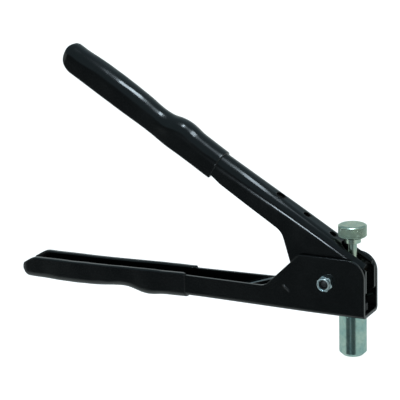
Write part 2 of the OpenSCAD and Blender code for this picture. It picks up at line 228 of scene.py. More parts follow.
def make_object(name, points, faces, material, sharp=None):
    """A smooth-shaded mesh object from points in millimetres, its normals weighted by face area."""
    mesh = bpy.data.meshes.new(name)
    mesh.from_pydata([Vector(p) * MM for p in points], [], faces)
    mesh.validate()
    work = bmesh.new()
    work.from_mesh(mesh)
    bmesh.ops.remove_doubles(work, verts=work.verts, dist=1e-7)
    bmesh.ops.recalc_face_normals(work, faces=work.faces)
    work.to_mesh(mesh)
    work.free()
    mesh.materials.append(material)
    mesh.polygons.foreach_set("use_smooth", [True] * len(mesh.polygons))
    if sharp:
        mesh.set_sharp_from_angle(angle=math.radians(sharp))
    obj = bpy.data.objects.new(name, mesh)
    bpy.context.scene.collection.objects.link(obj)
    weighted = obj.modifiers.new("weighted", "WEIGHTED_NORMAL")
    weighted.keep_sharp = True
    return obj


def ring_faces(start, rings, count):
    """Quads between successive closed rings of the same number of points."""
    return [
        (
            start + i * count + k,
            start + i * count + (k + 1) % count,
            start + (i + 1) * count + (k + 1) % count,
            start + (i + 1) * count + k,
        )
        for i in range(rings - 1)
        for k in range(count)
    ]


# ---------- folded sheet ----------

FLAT, BEND = 8.0, 6.0  # how much of the pattern's width lies on half the web and on one fold
WALL = FLAT + BEND  # where the pattern's walls start
WALL_STEP, LENGTH_STEP = 2.6, 3.0  # of the mesh's inner points, across the walls and along the channel
EDGE_GAP = 0.45  # that inner points keep from the edges


class Channel:
    """A channel folded from sheet.

    On its pattern u runs along it and q across it, from one wall over the web to the other.
    """

    def __init__(self, half, fold, web, up, place):
        self.half, self.fold, self.web, self.up, self.place = half, fold, web, up, place

    def at(self, u, q, depth):
        """Where a pattern point lies, at a depth below the sheet's outer face."""
        side = 1 if q > 0 else -1
        r, w = self.fold(u), self.web(u)
        rise = max(abs(q) - WALL, 0)
        h = self.half(u, w + self.up * (r + rise))
        turn = min(max(abs(q) - FLAT, 0) / BEND, 1) * math.pi / 2
        y = (h - r) * min(abs(q) / FLAT, 1) + (r - depth) * math.sin(turn)
        z = w + self.up * (r + rise - (r - depth) * math.cos(turn))
        return self.place(u, side * y, z)

    def from_wall(self, u, z):
        """Pattern point of a place on the wall at y > 0."""
        return u, WALL + self.up * (z - self.web(u)) - self.fold(u)

    def from_web(self, u, y):
        """Pattern point of a place on the web or its folds."""
        r = self.fold(u)
        flat = self.half(u, self.web(u) + self.up * r) - r
        side = 1 if y > 0 else -1
        if abs(y) <= flat:
            return u, y / flat * FLAT
        return u, side * (FLAT + BEND * math.asin(min((abs(y) - flat) / r, 1)) / (math.pi / 2))

    def build(self, name, outline, holes, material, detail=()):
        """Detail holds more pattern points, for a small raised feature."""

        def longest(p):
            return 0.8 if abs(p.y) < WALL + 1 else 1.6

        loops = [refine(outline, longest)] + [refine(h, lambda p: 1.0) for h in holes]
        if signed_area(loops[0]) < 0:
            loops[0].reverse()
        for i in range(1, len(loops)):
            if signed_area(loops[i]) > 0:
                loops[i].reverse()
        flats = [inset(loop, RIM) for loop in loops]
        us = [p.x for p in loops[0]]
        qs = [p.y for p in loops[0]]
        bend_steps = [FLAT + BEND * i / 8 for i in range(9)]
        walls = [WALL + 0.6 + WALL_STEP * i for i in range(int(max(qs) / WALL_STEP))]
        across = [0.0, 3.0, 6.0, 7.5] + bend_steps + walls
        across = sorted({-q for q in across} | set(across))
        lengths = int((max(us) - min(us)) / LENGTH_STEP)
        along = [min(us) + LENGTH_STEP * i for i in range(1, lengths + 1)]
        grid = [(u, q) for u in along for q in across if min(qs) < q < max(qs)]
        keep, gap = inside(grid, [[tuple(p) for p in f] for f in flats])
        points = [p for f in flats for p in f]
        edges, start = [], 0
        for f in flats:
            edges += [(start + k, start + (k + 1) % len(f)) for k in range(len(f))]
            start += len(f)
        points += [Vector(g) for g, k, d in zip(grid, keep, gap) if k and d > EDGE_GAP]
        points += [Vector(p) for p in detail]
        flat_points, _, triangles, _, _, _ = delaunay_2d_cdt(points, edges, [], 0, 1e-5)
        middles = [tuple(sum((flat_points[v] for v in t), Vector((0, 0))) / 3) for t in triangles]
        keep, _ = inside(middles, [[tuple(p) for p in f] for f in flats])
        triangles = [t for t, k in zip(triangles, keep) if k]

        solid, faces = [], []
        for depth, flip in ((0.0, False), (SHEET, True)):
            base = len(solid)
            solid += [self.at(p.x, p.y, depth) for p in flat_points]
            faces += [tuple(base + v for v in (reversed(t) if flip else t)) for t in triangles]
        quarter = [math.radians(a) for a in (0, 30, 60, 90)]
        rounding = [(RIM * (1 - math.sin(a)), RIM * (1 - math.cos(a))) for a in quarter]
        steps = rounding + [(i, SHEET - d) for i, d in reversed(rounding)]
        for loop in loops:
            base = len(solid)
            for distance, depth in steps:
                solid += [self.at(p.x, p.y, depth) for p in inset(loop, distance)]
            faces += ring_faces(base, len(steps), len(loop))
        return make_object(name, solid, faces, material)


# ---------- turned pieces ----------

AXIS = 0.01  # radius of the first or last ring of a profile that ends on its axis


def eased(profile, radius):
    """The open profile with its corners rounded."""
    out = [Vector(profile[0])]
    for a, b, c in zip(profile, profile[1:], profile[2:]):
        a, b, c = Vector(a), Vector(b), Vector(c)
        reach = min(radius, (a - b).length * 0.45, (c - b).length * 0.45)
        start, end = b + (a - b).normalized() * reach, b + (c - b).normalized() * reach
        for t in (0, 1 / 3, 2 / 3, 1):
            out.append(start.lerp(b, t).lerp(b.lerp(end, t), t))
    out.append(Vector(profile[-1]))
    return out


def turned(name, profile, material, place, count=96, radius=None, closed=False, sharp=None):
    """A profile of (r, height) turned about an axis.

    Radius may change r for an angle; closed joins the last ring to the first.
    """
    points = []
    for r, h in profile:
        for k in range(count):
            a = 2 * math.pi * k / count
            s = radius(r, h, a) if radius else r
            points.append(place(s * math.cos(a), s * math.sin(a), h))
    rings = len(profile)
    faces = ring_faces(0, rings, count)
    if closed:
        last = (rings - 1) * count
        faces += [(last + k, last + (k + 1) % count, (k + 1) % count, k) for k in range(count)]
    return make_object(name, points, faces, material, sharp)


def upright(x, y, z):
    """Turned pieces on the nose's axis."""
    return Vector((x, y, z))


def on_pivot(x, y, z):
    """Turned pieces on the pivot: their height runs along Y."""
    return Vector((PIVOT.x + x, z, PIVOT.z + y))


def on_lever(x, y, z):
    """A place on the lever in the shared frame: x towards the front, z square to the lever's web."""
    c, s = math.cos(math.radians(LEVER_ANGLE)), math.sin(math.radians(LEVER_ANGLE))
    return Vector((PIVOT.x + x * c + z * s, y, PIVOT.z - x * s + z * c))


# ---------- materials ----------


class Surface:
    """A Principled material and the helpers that wire noise into it."""

    def __init__(self, name, color, metallic, roughness, **settings):
        self.material = bpy.data.materials.new(name)
        self.material.use_nodes = True
        self.nodes, self.links = self.material.node_tree.nodes, self.material.node_tree.links
        self.shader = self.nodes["Principled BSDF"]
        self.shader.inputs["Base Color"].default_value = (*color, 1)
        self.shader.inputs["Metallic"].default_value = metallic
        self.shader.inputs["Roughness"].default_value = roughness
        for socket, value in settings.items():
            self.shader.inputs[socket.replace("_", " ")].default_value = value
        self.color = color
        self.normal = None

    def noise(self, scale, stretch=(1, 1, 1), detail=4.0):
        place = self.nodes.new("ShaderNodeTexCoord")
        mapping = self.nodes.new("ShaderNodeMapping")
        mapping.inputs["Scale"].default_value = stretch
        texture = self.nodes.new("ShaderNodeTexNoise")
        texture.inputs["Scale"].default_value = scale
        texture.inputs["Detail"].default_value = detail
        texture.inputs["Roughness"].default_value = 0.55
        self.links.new(place.outputs["Object"], mapping.inputs["Vector"])
        self.links.new(mapping.outputs["Vector"], texture.inputs["Vector"])
        return texture.outputs["Fac"]

    def spread(self, value, low, high, start=0.3, end=0.7):
        """The value from start to end, spread over low to high."""
        span = self.nodes.new("ShaderNodeMapRange")
        span.inputs["From Min"].default_value = start
        span.inputs["From Max"].default_value = end
        span.inputs["To Min"].default_value = low
        span.inputs["To Max"].default_value = high
        self.links.new(value, span.inputs["Value"])
        return span.outputs["Result"]

    def roughness(self, value, low, high):
        self.links.new(self.spread(value, low, high), self.shader.inputs["Roughness"])

    def tint(self, value, color, start, end, amount=1.0):
        """Mixes a colour in where the value goes from start to end."""
        mix = self.nodes.new("ShaderNodeMix")
        mix.data_type = "RGBA"
        base = self.shader.inputs["Base Color"]
        if base.is_linked:
            self.links.new(base.links[0].from_socket, mix.inputs["A"])
        else:
            mix.inputs["A"].default_value = (*self.color, 1)
        mix.inputs["B"].default_value = (*color, 1)
        self.links.new(self.spread(value, 0, amount, start, end), mix.inputs["Factor"])
        self.links.new(mix.outputs["Result"], base)

    def bump(self, value, distance, strength):
        bump = self.nodes.new("ShaderNodeBump")
        bump.inputs["Distance"].default_value = distance
        bump.inputs["Strength"].default_value = strength
        self.links.new(value, bump.inputs["Height"])
        if self.normal:
            self.links.new(self.normal, bump.inputs["Normal"])
        self.normal = bump.outputs["Normal"]
        self.links.new(self.normal, self.shader.inputs["Normal"])

    def edges(self, radius):
        """Near 1 where the surface turns within the radius, and 0 on flat stretches."""
        bevel = self.nodes.new("ShaderNodeBevel")
        bevel.inputs["Radius"].default_value = radius
        flat = self.nodes.new("ShaderNodeNewGeometry")
        dot = self.nodes.new("ShaderNodeVectorMath")
        dot.operation = "DOT_PRODUCT"
        self.links.new(bevel.outputs["Normal"], dot.inputs[0])
        self.links.new(flat.outputs["Normal"], dot.inputs[1])
        return self.spread(dot.outputs["Value"], 1, 0, 0.9, 0.995)

    def times(self, a, b):
        product = self.nodes.new("ShaderNodeMath")
        product.operation = "MULTIPLY"
        self.links.new(a, product.inputs[0])
        self.links.new(b, product.inputs[1])
        return product.outputs["Value"]


def black_paint():
    """Glossy enamel, lighter in patches along its edges: partly wear, partly a painted edge highlight."""
    s = Surface("black_paint", (0.0016, 0.002, 0.0021), 0, 0.18, Coat_Weight=0.3, Coat_Roughness=0.06)
    s.roughness(s.noise(60), 0.14, 0.22)
    s.tint(s.noise(180, detail=6), (0.003, 0.0034, 0.0036), 0.5, 0.8)
    # edges lighter in patches: wear, and also a painted highlight along the edges
    wear_and_edge_sheen = s.times(s.edges(0.0005), s.spread(s.noise(420, detail=6), 0, 1, 0.54, 0.68))
    s.tint(wear_and_edge_sheen, (0.07, 0.075, 0.075), 0.0, 1.0, 0.5)
    s.bump(s.noise(700, detail=2), 0.00002, 0.3)
    s.bump(s.noise(90, detail=1), 0.0002, 0.1)
    return s.material


def black_vinyl():
    """Dipped vinyl, smooth with shallow waves."""
    s = Surface("black_vinyl", (0.0016, 0.0019, 0.0021), 0, 0.18, Coat_Weight=0.4, Coat_Roughness=0.06)
    s.roughness(s.noise(45), 0.14, 0.24)
    s.tint(s.noise(120, detail=5), (0.0032, 0.0036, 0.0038), 0.5, 0.85)
    s.bump(s.noise(70, detail=2), 0.0005, 0.16)
    s.bump(s.noise(1100, detail=2), 0.00002, 0.25)
    return s.material


def zinc(name, axis, color=(0.6, 0.8, 0.7), grain=1.0, rough=0.14, grooves=False):
    """Bright zinc plate over turned steel: fine rings about the axis. With grooves set, painted shade darkens
    the surface's hollows.
    """
    stretch = tuple(40.0 if i == axis else 1.0 for i in range(3))
    s = Surface(name, color, 1, 0.2, Specular_IOR_Level=0.5)
    s.roughness(s.noise(160, detail=5), rough, rough + 0.12)
    s.tint(s.noise(110, detail=5), tuple(c * k for c, k in zip(color, (0.66, 0.8, 0.86))), 0.38, 0.66)
    s.tint(s.noise(420, detail=4), tuple(c * 0.7 for c in color), 0.55, 0.72, 0.6)
    if grooves:
        # painted shade: hollows such as the knurl's grooves are darkened by their pointiness
        shape = s.nodes.new("ShaderNodeNewGeometry")
        s.tint(shape.outputs["Pointiness"], tuple(c * 0.22 for c in color), 0.5, 0.44)
    s.bump(s.noise(60, stretch, 3), 0.00003 * grain, 0.4)
    s.bump(s.noise(900, detail=3), 0.00001 * grain, 0.4)
    return s.material


def machined(name, color, low, high):
    """Oiled machined steel or bronze."""
    s = Surface(name, color, 1, 0.35)
    s.roughness(s.noise(220, detail=5), low, high)
    s.tint(s.noise(150, detail=5), tuple(c * 0.55 for c in color), 0.45, 0.75)
    s.bump(s.noise(90, (1, 12, 30), 3), 0.00004, 0.5)
    return s.material


def drawn_wire():
    s = Surface("spring_wire", (0.5, 0.52, 0.52), 1, 0.2)
    s.roughness(s.noise(200), 0.14, 0.24)
    s.tint(s.noise(260, detail=4), (0.3, 0.31, 0.31), 0.4, 0.75)
    s.bump(s.noise(300, (1, 6, 1), 2), 0.00001, 0.4)
    return s.material


def black_oxide():
    s = Surface("black_oxide", (0.02, 0.02, 0.022), 0, 0.4, Specular_IOR_Level=0.5)
    s.roughness(s.noise(240, detail=5), 0.3, 0.48)
    s.tint(s.noise(160, detail=5), (0.01, 0.01, 0.011), 0.4, 0.75)
    s.bump(s.noise(120, (1, 10, 20), 3), 0.00003, 0.5)
    return s.material


def nylon():
    s = Surface("nylon", (0.016, 0.018, 0.02), 0, 0.45)
    s.roughness(s.noise(300), 0.38, 0.6)
    s.bump(s.noise(900, detail=3), 0.00004, 0.4)
    return s.material


PAINT = black_paint()
VINYL = black_vinyl()
ZINC = zinc("zinc_turned", 2)
ZINC_KNURL = zinc("zinc_knurled", 2, (0.82, 0.94, 0.74), 0.5, 0.24, True)
ZINC_BOLT = zinc("zinc_fasteners", 1, (0.84, 0.94, 0.94), rough=0.22)
STEEL = machined("plain_steel", (0.42, 0.42, 0.41), 0.26, 0.42)
WIRE = drawn_wire()
OXIDE = black_oxide()
BRONZE = machined("bronze", (0.45, 0.28, 0.12), 0.3, 0.5)
NYLON = nylon()


def finish_piece(obj, body, node):
    """Puts a piece on its body, in place of a CAD node."""
    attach(obj, body)
    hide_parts(node)


# ---------- frame channel ----------

CREASE = Vector((-46.0, 47.7))  # where the crease across the head's side meets its slanted edge
CREASE_TOP = 50.0
CREASE_COS, CREASE_SIN = 0.762, 0.648  # crease and dart both run down towards the front
FLARE_LENGTH, FLARE_PULL = 57.0, 1.1
FLARE_SLOPE = (HEAD_HALF - HANDLE_HALF) / FLARE_LENGTH
DART = Vector((-43.7, 45.7))
DART_LENGTH, DART_HALF, DART_RISE = 7.5, 0.9, 0.4


def dart_place(u, z):
    """Where a point on the wall lies along and across the dart."""
    offset = Vector((u, z)) - DART
    return offset.dot(Vector((CREASE_COS, -CREASE_SIN))), offset.dot(Vector((CREASE_SIN, CREASE_COS)))


def frame_half(u, z):
    """Half the channel's width: full over the head, narrower behind its side's crease, wider on the dart."""
    behind = Vector((-CREASE_SIN, -CREASE_COS)).dot(Vector((u, min(z, CREASE_TOP))) - CREASE)
    ramp = math.sqrt(behind * behind + 1.0) + behind
    along, across = dart_place(u, z)
    dart = max(1 - abs(across) / DART_HALF, 0) * smooth_step(1 - abs(along) / DART_LENGTH * 2, 0, 0.4)
    return HEAD_HALF - min(FLARE_SLOPE * ramp / 2 * FLARE_PULL, HEAD_HALF - HANDLE_HALF) + DART_RISE * dart


frame_fold = Channel(
    frame_half,
    lambda u: FRAME_FOLD,
    lambda u: FRAME_BOTTOM + HANDLE_RISE * smooth_step(-u, 120, 150),
    1,
    upright,
)
slant_end = HEAD_BACK - (CHANNEL_HIGH.z - HANDLE_TOP) / math.tan(math.radians(HEAD_SLANT))
frame_side = (
    [(CHANNEL_HIGH.x, FRAME_BOTTOM + FRAME_FOLD)]
    + arc(CHANNEL_HIGH.x - HEAD_CORNER_R, CHANNEL_HIGH.z - HEAD_CORNER_R, HEAD_CORNER_R, 0, 90, 16)
    + arc(HEAD_BACK + 1.5, CHANNEL_HIGH.z - 4, 4, 90, 90 + HEAD_SLANT, 6)
    + arc(slant_end - 4, HANDLE_TOP + 10, 10, HEAD_SLANT - 90, -90, 10)
    + [(LOWER_GRIP_START, HANDLE_TOP - 0.3)]
    + arc(HANDLE_END + 8, HANDLE_TOP - 10, 8, 90, 165, 8)
)
frame_wall = [frame_fold.from_wall(x, z) for x, z in frame_side]
nose_hole = [frame_fold.from_web(x, y) for x, y in circle(0, 0, NOSE_HOLE_R, 40)]
pivot_hole = [frame_fold.from_wall(x, z) for x, z in circle(PIVOT.x, PIVOT.z, BOLT_HOLE_R)]
dart_points = [
    frame_fold.from_wall(DART.x + CREASE_COS * a + CREASE_SIN * c, DART.y - CREASE_SIN * a + CREASE_COS * c)
    for a in np.linspace(-DART_LENGTH / 2, DART_LENGTH / 2, 17)
    for c in (-DART_HALF, -DART_HALF / 2, 0, DART_HALF / 2, DART_HALF)
]
frame_channel = frame_fold.build(
    "frame_side_plates",
    frame_wall + mirrored(reversed(frame_wall)),
    [nose_hole, pivot_hole, mirrored(pivot_hole)],
    PAINT,
    dart_points + mirrored(dart_points),
)
finish_piece(frame_channel, "frame", "frame_channel")

# ---------- lever channel ----------

lever_front = CHANNEL_HIGH.x - LEVER_INSET - PIVOT.x


def front_x(z):
    """Front edge of the lever, upright when the lever is open."""
    return (lever_front - z * math.sin(math.radians(LEVER_ANGLE))) / math.cos(math.radians(LEVER_ANGLE))


lever_fold = Channel(
    lambda u, z: LEVER_HALF,
    curve_through([(20, 5.4), (-15, 5.6), (-45, 6.3), (-80, 8.0), (-112, 9.3)]),
    lambda u: LEVER_TOP - LEVER_DROP * smooth_step(-u, 110, 150),
    -1,
    on_lever,
)
lever_side = (
    [(front_x(LEVER_TOP - 4.2), LEVER_TOP - 4.2), (front_x(9.5), 9.5), (front_x(8.1) - 1.2, 7.8)]
    + arc(0, 0, BOSS, -50, -103, 12)
    + [(-29.5, -5.6)]
    + arc(-50.5, LEVER_EDGE - 13.3, 12.5, 46, 90, 14)
    + [(-100, LEVER_EDGE), (UPPER_GRIP_START, LEVER_EDGE + 1.3)]
    + arc(LEVER_END + 14, LEVER_EDGE + 12.3, 11, 270, 200, 8)
)
slot = [
    lever_fold.from_web(SLOT_BACK - SLOT_HALF * math.sin(a), SLOT_HALF * math.cos(a))
    for a in np.linspace(0, math.pi, 22)
]
lever_wall = [lever_fold.from_wall(u, z) for u, z in lever_side]
front_leg = [  # the web beside the slot, at its front edge
    lever_fold.from_web(front_x(LEVER_TOP), y) for y in (SLOT_HALF, SLOT_HALF + 1.2, LEVER_HALF - 0.6)
]
lever_outline = slot + mirrored(front_leg + lever_wall) + lever_wall[::-1] + front_leg[::-1]
trunnion_turn = math.radians(TRUNNION_TURN)
trunnion_x, trunnion_z = TRUNNION_REACH * math.cos(trunnion_turn), TRUNNION_REACH * math.sin(trunnion_turn)
trunnion_hole = [lever_fold.from_wall(x, z) for x, z in circle(trunnion_x, trunnion_z, TRUNNION_HOLE_R)]
boss_hole = [lever_fold.from_wall(x, z) for x, z in circle(0, 0, BUSH_HOLE_R)]
web_holes = [
    [lever_fold.from_web(x, y) for x, y in circle(WEB_HOLE_X + WEB_HOLE_STEP * i, 0, r)]
    for i, r in enumerate(WEB_HOLE_RADII)
]
lever_channel = lever_fold.build(
    "lever_arm",
    lever_outline,
    web_holes + [boss_hole, trunnion_hole, mirrored(boss_hole), mirrored(trunnion_hole)],
    PAINT,
)
finish_piece(lever_channel, "lever", "lever_channel")

# ---------- dipped grips ----------

GRIP_WALL, GRIP_THINNER, GRIP_LIP, GRIP_RIM = 4.4, 1.6, 0.7, 1.2
GRIP_STEP = 1.5
GRIP_LUMPS, LUMPS_ALONG, LUMPS_AROUND = 0.16, 0.09, 0.16
LOWER_CROWN, UPPER_CROWN = 5.5, 9.2


def grip_wall(u, start):
    """The sleeve's wall, thinner where the sleeve starts."""
    return GRIP_WALL - GRIP_THINNER * smooth_step(u, start - 2.5, start)


def grip_section(half, low, high, crown, wall):
    """Half a sleeve's section with its mouth down: outer and inner points, both from the crown to the rim."""
    height = max(high - low, 0.2)
    crown = min(crown, height * 0.75, half)
    rim = min(GRIP_RIM, wall / 2, height * 0.45)
    bottom = low + rim
    around_crown = np.linspace(0, math.pi / 2, 12)
    down_wall = (0.25, 0.5, 0.75, 1.0)
    around_rim = np.linspace(0.3, math.pi / 2, 5)

    outer = [(0.0, high), ((half - crown) * 0.6, high)]
    outer += [
        (half - crown + crown * math.sin(t), high - crown + crown * math.cos(t)) for t in around_crown
    ]
    outer += [(half, high - crown + (bottom - high + crown) * t) for t in down_wall]
    outer += [(half - rim + rim * math.cos(t), bottom - rim * math.sin(t)) for t in around_rim]

    crown = max(crown - wall, 0.6)
    half, high = half - wall, max(high - wall, low + 0.02)
    inner = [(0.0, high), ((half - crown) * 0.6, high)]
    inner += [
        (half - crown + crown * math.sin(t), max(high - crown + crown * math.cos(t), low))
        for t in around_crown
    ]
    top = max(high - crown, low)
    inner += [(half, max(top + (bottom - top) * t, low)) for t in down_wall]
    inner += [(half + rim - rim * math.cos(t), bottom - rim * math.sin(t)) for t in around_rim]
    return outer, inner


def make_grip(name, stations, section, place):
    """A sleeve lofted through its sections, closed at both ends."""
    points, faces = [], []
    for u in stations:
        outer, inner = section(u)
        ring = outer + inner[::-1]
        whole = ring + [(-y, z) for y, z in ring[-2:0:-1]]
        for y, z in whole:
            place_in_noise = Vector((u * LUMPS_ALONG, y * LUMPS_AROUND, z * LUMPS_AROUND))
            lump = GRIP_LUMPS * noise.noise(place_in_noise)
            points.append(place(u, y * (1 + lump / 11), z + lump))
    count = len(whole)
    faces += ring_faces(0, len(stations), count)
    half = len(ring)
    for base in (0, (len(stations) - 1) * count):
        for k in range((half - 1) // 2):
            cap = [k, k + 1, half - 2 - k, half - 1 - k]
            faces.append([base + i for i in dict.fromkeys(cap)])
            faces.append([base + i for i in dict.fromkeys((count - c) % count for c in cap)])
    return make_object(name, points, faces, VINYL)


def rounded_end(u, end, radius, inward):
    """How far a surface has moved in near a rounded end."""
    along = (u - end) * inward
    if along >= radius:
        return 0.0
    return radius - math.sqrt(max(radius * radius - (radius - along) ** 2, 0.0))


def stations_between(start, end, end_detail):
    """Places along a grip, close together at both ends."""
    span = end - start
    count = int(abs(span) / GRIP_STEP)
    inner = [start + span * i / count for i in range(1, count)]
    near = [0.0, 0.04, 0.15, 0.4, 0.8, 1.3, 2.0, 3.0]
    sign = math.copysign(1, span)
    out = [start + sign * n * 0.6 for n in near]
    out += [u for u in inner if abs(u - start) > 2.2 and abs(u - end) > end_detail + 0.3]
    out += [end - sign * end_detail * (1 - math.cos(t)) for t in np.linspace(math.pi / 2, 0.03, 16)]
    return out


LOWER_TIP = LOWER_GRIP_LOW.x + 0.1
LOWER_GRIP_HALF = LOWER_GRIP_HIGH.y
lower_top = curve_through([(LOWER_GRIP_START, 46.2), (-135, 46.0), (-160, 45.4), (-205, 44.5), (-240, 44.3)])
lower_bottom = curve_through(
    [
        (LOWER_GRIP_START, -1.6), (-130, -1.8), (-137, -2.0), (-144, -2.4), (-150, -3.1),
        (-154, -3.3), (-159, -2.7), (-164, -1.4), (-169, -0.2), (-174, 0.3),
        (-181, -0.1), (-190, -1.0), (-205, -1.9), (-222, -2.0), (-243, -1.4),
    ],
    FRAME_BOTTOM,
)
lower_half = curve_through(
    [
        (LOWER_GRIP_START, -0.35), (-135, -0.3), (-150, -0.1), (-158, -0.2),
        (-170, -0.5), (-190, -0.35), (-245, -0.3),
    ]
)
lower_slant = curve_through(  # from the tip
    [(0, 9.6), (0.12, 8.6), (0.7, 6.4), (3, 4.1), (5.7, 2.3), (8.3, 1.0), (10.9, 0.15), (13, 0)]
)


def lower_section(u):
    """The lower sleeve's section, turned over because its mouth is up."""
    lip = rounded_end(u, LOWER_GRIP_START, GRIP_LIP, -1)
    side = rounded_end(u, LOWER_TIP, 4.0, 1)
    high = lower_top(u) - lower_slant(u - LOWER_TIP) - lip
    low = lower_bottom(u) + rounded_end(u, LOWER_TIP, 5.2, 1) + lip
    half = LOWER_GRIP_HALF + lower_half(u) - lip - side * 0.7
    return grip_section(half, -high, -low, LOWER_CROWN, grip_wall(u, LOWER_GRIP_START))


lower_grip = make_grip(
    "lower_grip_sleeve",
    stations_between(LOWER_GRIP_START, LOWER_TIP, 10.4),
    lower_section,
    lambda u, y, z: Vector((u, y, -z)),
)
finish_piece(lower_grip, "frame", "lower_grip")

upper_top = curve_through(
    [
        (UPPER_GRIP_START, 1.1), (-120, 1.2), (-126, 1.4), (-132, 1.7), (-138, 2.4), (-144, 2.6),
        (-150, 1.7), (-156, -0.2), (-163, -0.9), (-169, -0.6), (-175, -0.1), (-181, 0.3),
        (-188, 0.5), (-206, 0.9), (-222, 0.6), (-236, -0.1),
    ],
    LEVER_TOP,
)
upper_bottom = curve_through(
    [(UPPER_GRIP_START, -1.4), (-135, -1.1), (-150, -1.1), (-162, -0.7), (-190, -0.7), (-240, -0.5)],
    LEVER_EDGE,
)
upper_half = curve_through(
    [(UPPER_GRIP_START, -0.35), (-132, -0.35), (-148, 0), (-162, -0.6), (-185, -0.3), (-240, -0.2)],
    UPPER_GRIP_HALF,
)


def upper_section(u):
    """The upper sleeve's section, its mouth down."""
    lip = rounded_end(u, UPPER_GRIP_START, GRIP_LIP, -1)
    side = rounded_end(u, UPPER_GRIP_TIP, 5.0, 1)
    high = upper_top(u) - rounded_end(u, UPPER_GRIP_TIP, 4.2, 1) - lip
    low = upper_bottom(u) + rounded_end(u, UPPER_GRIP_TIP, 12.2, 1) + lip
    half = upper_half(u) - lip - side * 0.9
    return grip_section(half, low, high, UPPER_CROWN, grip_wall(u, UPPER_GRIP_START))


upper_grip = make_grip(
    "upper_grip_sleeve",
    stations_between(UPPER_GRIP_START, UPPER_GRIP_TIP, 14.0),
    upper_section,
    on_lever,
)
finish_piece(upper_grip, "lever", "upper_grip")

# ---------- thumb screw ----------

SCREW_LOW, SCREW_HIGH = node_box("thumb_screw")
KNOB_HIGH, KNOB_R, KNOB_H = SCREW_HIGH.z, SCREW_HIGH.x, 8.6
KNOB_LOW = KNOB_HIGH - KNOB_H
KNOB_CHAMFER = 0.9
COLLAR_R, COLLAR_H = 5.75, 4.0
COLLAR_LOW = KNOB_LOW - COLLAR_H
SHANK_LOW, SHANK_R = SCREW_LOW.z, 3.0
KNURL_COUNT, KNURL_DEPTH, KNURL_FADE, KNURL_FLAT = 46, 0.5, 0.35, 0.15


def knurl(r, height, angle):
    """Crossed grooves round the knob's side; they fade out before its chamfers."""
    if r < KNOB_R - 0.02:
        return r
    from_edge = min(height - (KNOB_LOW + KNOB_CHAMFER), KNOB_HIGH - KNOB_CHAMFER - height)
    fade = min(max(from_edge / KNURL_FADE, 0.0), 1.0)
    lead = height / (2 * math.pi * KNOB_R) * KNURL_COUNT
    turn = angle / (2 * math.pi) * KNURL_COUNT
    groove = max(abs((turn + lead) % 1 - 0.5), abs((turn - lead) % 1 - 0.5)) * 2
    return r - KNURL_DEPTH * fade * max(groove - KNURL_FLAT, 0) / (1 - KNURL_FLAT)


ROWS = 44  # on the knob's side, for the knurl
side_rows = [KNOB_LOW + KNOB_CHAMFER + (KNOB_H - 2 * KNOB_CHAMFER) * i / ROWS for i in range(ROWS + 1)]
screw_under = [
    (AXIS, SHANK_LOW), (SHANK_R, SHANK_LOW), (SHANK_R, COLLAR_LOW), (COLLAR_R, COLLAR_LOW),
    (COLLAR_R, KNOB_LOW), (KNOB_R - 1.0, KNOB_LOW), (KNOB_R - 0.05, KNOB_LOW + 0.85),
]
screw_top = [
    (KNOB_R - 0.05, KNOB_HIGH - 0.85), (KNOB_R - 1.1, KNOB_HIGH - 0.12), (KNOB_R - 2.2, KNOB_HIGH),
    (2.0, KNOB_HIGH), (AXIS, KNOB_HIGH),
]
knob_profile = eased(screw_under, 0.3) + [(KNOB_R, z) for z in side_rows] + eased(screw_top, 0.5)
knob = turned("thumb_screw_knob", knob_profile, ZINC_KNURL, upright, KNURL_COUNT * 10, knurl)
finish_piece(knob, "screw", "thumb_screw")

# ---------- nose ----------

NOSE_HIGH = node_box("nose_housing")[1]
NOSE_R, SPIGOT_R, SPIGOT_TOP = NOSE_HIGH.x, 7.5, NOSE_HIGH.z
NOSE_SHOULDER = FRAME_BOTTOM - 0.02
NOSE_CHAMFER = 2.5
SOCKET_R, SOCKET_DEPTH = 5.0, 4.0  # where the nosepiece sits
BARREL_BORE_R = 5.55
nose_profile = [
    (SOCKET_R, SOCKET_DEPTH - 0.05), (SOCKET_R, 0.02), (NOSE_R - NOSE_CHAMFER, 0.0), (NOSE_R, NOSE_CHAMFER),
    (NOSE_R, NOSE_SHOULDER), (SPIGOT_R, NOSE_SHOULDER), (SPIGOT_R, SPIGOT_TOP),
    (BARREL_BORE_R, SPIGOT_TOP), (BARREL_BORE_R, SOCKET_DEPTH),
]
nose = turned("nose_barrel_body", eased(nose_profile, 0.35), ZINC, upright, 128, closed=True)
finish_piece(nose, "frame", "nose_housing")

# ---------- pivot nut and bolt ----------

HEX_HALF = 5.0
CORNER = HEX_HALF / math.cos(math.radians(30))
HEX_SHARP = 35  # degrees from which an edge is drawn sharp
NUT_LOW, NUT_HIGH = node_box("pivot_nut")
NUT_OUT, NUT_BACK = NUT_LOW.y, NUT_HIGH.y  # its outer end and its seat
NUT_FACE = NUT_OUT + 2.0  # where the hexagon starts, behind the collar
NUT_BORE_R, COLLAR_BORE_R, LIP_R = 3.05, 4.0, 0.72
BOLT_LOW, BOLT_HIGH = node_box("pivot_bolt")
BOLT_TIP, BOLT_TOP = BOLT_LOW.y, BOLT_HIGH.y
BOLT_R = 3.0
BOLT_SEAT = HEAD_HALF + 1.0
THREAD_LENGTH, THREAD_DEPTH, THREAD_STEP = 5, 0.3, 0.125


def hexagon(r, height, angle):
    """Cuts a turned shape to six flats; the turned radius leaves its chamfer."""
    sector = (math.degrees(angle) + 15) % 60 - 30
    return min(r, HEX_HALF / math.cos(math.radians(sector)))


